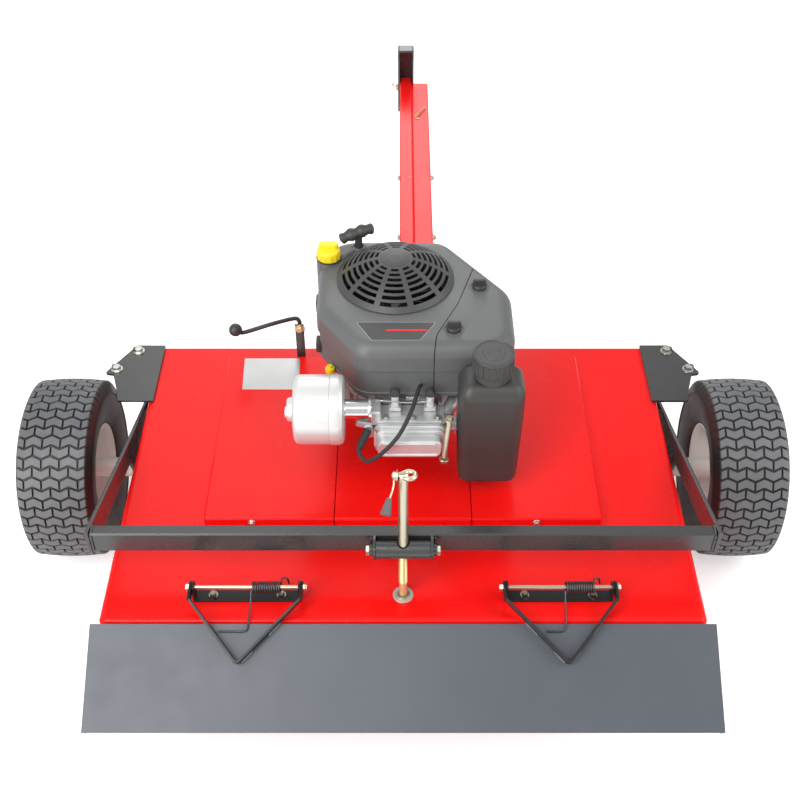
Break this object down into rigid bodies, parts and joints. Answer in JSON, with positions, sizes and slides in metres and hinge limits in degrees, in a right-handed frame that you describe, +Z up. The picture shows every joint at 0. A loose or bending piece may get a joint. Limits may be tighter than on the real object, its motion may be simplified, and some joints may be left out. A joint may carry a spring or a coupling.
{
  "type": "tow-behind finishing mower",
  "caption": "Towed mower: sheet deck with belt-driven blades under its own engine, side wheels on a crank-lifted axle frame, a sprung rear flap and an offset tow bar",
  "frame": {"origin": "on the ground under the middle of the bounding box, between hitch and flap", "axes": "+X to the mower's right, +Y forward to the hitch, +Z up"},
  "size_m": [1.665, 2.3432, 0.7342],
  "materials": {
    "red_paint": "gloss red paint",
    "black_paint": "satin black paint",
    "flap_grey_paint": "dark grey satin paint",
    "zinc_plate": "yellow zinc plate",
    "spring_steel": "oiled spring steel",
    "cast_aluminium": "bare cast aluminium",
    "shroud_plastic": "dark grey moulded plastic",
    "tank_plastic": "black moulded plastic",
    "yellow_plastic": "yellow plastic",
    "cream_rim_paint": "cream paint",
    "tyre_rubber": "black tyre rubber",
    "belt_rubber": "black belt rubber"
  },
  "bodies": {
    "deck": {"deck_shell": "red_paint", "engine_plate": "red_paint", "belt_cover_left": "red_paint", "belt_cover_right": "red_paint", "corner_plate_left": "black_paint", "corner_plate_right": "black_paint", "hinge_bracket_left": "black_paint", "hinge_bracket_right": "black_paint", "hinge_pin_left": "zinc_plate", "hinge_pin_right": "zinc_plate", "flap_spring_left": "spring_steel", "flap_spring_right": "spring_steel", "tongue_bracket": "black_paint", "spindle_housing_left": "cast_aluminium", "spindle_housing_right": "cast_aluminium", "screw_washer": "zinc_plate", "lever_bracket": "black_paint", "pivot_bolt_left": "zinc_plate", "pivot_bolt_right": "zinc_plate", "drive_belt": "belt_rubber", "crankcase": "cast_aluminium", "cylinder_head": "cast_aluminium", "valve_cover": "cast_aluminium", "blower_housing": "shroud_plastic", "air_cleaner_cover": "shroud_plastic", "fan_grille": "shroud_plastic", "fuel_tank": "tank_plastic", "muffler": "cast_aluminium", "plug_lead": "tank_plastic"},
    "axle_frame": {"crossbar": "black_paint", "side_arm_left": "black_paint", "side_arm_right": "black_paint"},
    "trunnion_tube": {"trunnion": "black_paint"},
    "screw_swivel": {"swivel_nut": "zinc_plate"},
    "screw_crank": {"lift_screw": "zinc_plate"},
    "wheel_left": {"tyre_left": "tyre_rubber", "rim_left": "cream_rim_paint"},
    "wheel_right": {"tyre_right": "tyre_rubber", "rim_right": "cream_rim_paint"},
    "flap": {"rear_flap": "flap_grey_paint", "flap_strap_left": "black_paint", "flap_strap_right": "black_paint"},
    "lever": {"clutch_lever": "black_paint"},
    "idler_swing_arm": {"idler_arm": "black_paint"},
    "idler": {"idler_pulley": "spring_steel"},
    "engine_shaft": {"crankshaft": "spring_steel", "flywheel_fan": "cast_aluminium"},
    "spindle_body_left": {"spindle_left": "cast_aluminium", "blade_left": "black_paint"},
    "spindle_body_right": {"spindle_right": "cast_aluminium", "blade_right": "black_paint"},
    "tow_bar": {"tongue_tube": "red_paint", "draw_bar": "red_paint", "hitch_post": "black_paint"},
    "pin": {"hitch_pin": "zinc_plate"},
    "tank_cap": {"fuel_cap": "tank_plastic"},
    "oil_cap": {"dipstick_cap": "yellow_plastic"},
    "knob_front": {"cover_knob_front": "tank_plastic"},
    "knob_rear": {"cover_knob_rear": "tank_plastic"},
    "pull_handle": {"starter_handle": "tank_plastic"}
  },
  "joints": [
    {"name": "axle_lift", "type": "hinge", "parent": "deck", "child": "axle_frame", "pos_m": [0, -0.29269, 0.235], "axis": [-1, 0, 0], "range_deg": [-3, 11]},
    {"name": "trunnion_turn", "type": "hinge", "parent": "axle_frame", "child": "trunnion_tube", "pos_m": [0, -0.90969, 0.435], "axis": [-1, 0, 0], "range_deg": [-4, 1.5]},
    {"name": "screw_lean", "type": "hinge", "parent": "deck", "child": "screw_swivel", "pos_m": [0, -0.92869, 0.32], "axis": [-1, 0, 0], "range_deg": [-2.5, 8]},
    {"name": "crank_turn", "type": "hinge", "parent": "screw_swivel", "child": "screw_crank", "pos_m": [0, -0.92869, 0.32], "axis": [0, 0.163, 0.9866], "continuous": true},
    {"name": "wheel_left_turn", "type": "hinge", "parent": "axle_frame", "child": "wheel_left", "pos_m": [-0.75, -0.47269, 0.203], "axis": [-1, 0, 0], "continuous": true},
    {"name": "wheel_right_turn", "type": "hinge", "parent": "axle_frame", "child": "wheel_right", "pos_m": [0.75, -0.47269, 0.203], "axis": [-1, 0, 0], "continuous": true},
    {"name": "flap_swing", "type": "hinge", "parent": "deck", "child": "flap", "pos_m": [0, -0.93269, 0.35], "axis": [-1, 0, 0], "range_deg": [0, 60], "stiffness_Nm_per_rad": 3, "springref_deg": -34.38, "deforming": ["flap_spring_left", "flap_spring_right"]},
    {"name": "clutch_swing", "type": "hinge", "parent": "deck", "child": "lever", "pos_m": [-0.236, -0.25069, 0.38], "axis": [0, 0, 1], "range_deg": [0, 36]},
    {"name": "idler_swing", "type": "hinge", "parent": "deck", "child": "idler_swing_arm", "pos_m": [-0.2166, -0.34269, 0.33], "axis": [0, 0, 1], "range_deg": [-20, 0]},
    {"name": "idler_turn", "type": "hinge", "parent": "idler_swing_arm", "child": "idler", "pos_m": [-0.1891, -0.44919, 0.3405], "axis": [0, 0, 1], "continuous": true},
    {"name": "engine_turn", "type": "hinge", "parent": "deck", "child": "engine_shaft", "pos_m": [-0.0155, -0.39069, 0.42], "axis": [0, 0, 1], "continuous": true},
    {"name": "blade_left_turn", "type": "hinge", "parent": "deck", "child": "spindle_body_left", "pos_m": [-0.272, -0.67769, 0.26], "axis": [0, 0, 1], "continuous": true},
    {"name": "blade_right_turn", "type": "hinge", "parent": "deck", "child": "spindle_body_right", "pos_m": [0.272, -0.49769, 0.26], "axis": [0, 0, 1], "continuous": true},
    {"name": "tow_bar_swing", "type": "hinge", "parent": "deck", "child": "tow_bar", "pos_m": [0.0573, -0.12069, 0.29], "axis": [0, 0, 1], "range_deg": [-15, 15]},
    {"name": "hitch_pin_pull", "type": "slide", "parent": "tow_bar", "child": "pin", "axis": [-1, 0, 0], "range_m": [0, 0.075]},
    {"name": "fuel_cap_turn", "type": "hinge", "parent": "deck", "child": "tank_cap", "pos_m": [0.171, -0.66469, 0.67], "axis": [0, 0, 1], "range_deg": [0, 120]},
    {"name": "oil_cap_turn", "type": "hinge", "parent": "deck", "child": "oil_cap", "pos_m": [-0.156, -0.32469, 0.69], "axis": [0, 0, 1], "range_deg": [0, 90]},
    {"name": "knob_front_turn", "type": "hinge", "parent": "deck", "child": "knob_front", "pos_m": [0.157, -0.42069, 0.682], "axis": [0, 0, 1], "range_deg": [0, 90]},
    {"name": "knob_rear_turn", "type": "hinge", "parent": "deck", "child": "knob_rear", "pos_m": [0.1, -0.55569, 0.682], "axis": [0, 0, 1], "range_deg": [0, 90]},
    {"name": "starter_pull", "type": "slide", "parent": "deck", "child": "pull_handle", "axis": [0, 0, 1], "range_m": [0, 0.2], "stiffness_N_per_m": 40, "springref_m": -0.1}
  ],
  "couplings": [
    {"joint": "trunnion_turn", "follows": "axle_lift", "ratio": -0.32},
    {"joint": "screw_lean", "follows": "axle_lift", "ratio": 0.68},
    {"joint": "idler_swing", "follows": "clutch_swing", "ratio": -0.5},
    {"joint": "blade_left_turn", "follows": "engine_turn", "ratio": 0.8333},
    {"joint": "blade_right_turn", "follows": "engine_turn", "ratio": 0.8333},
    {"joint": "idler_turn", "follows": "engine_turn", "ratio": -1.3889}
  ]
}
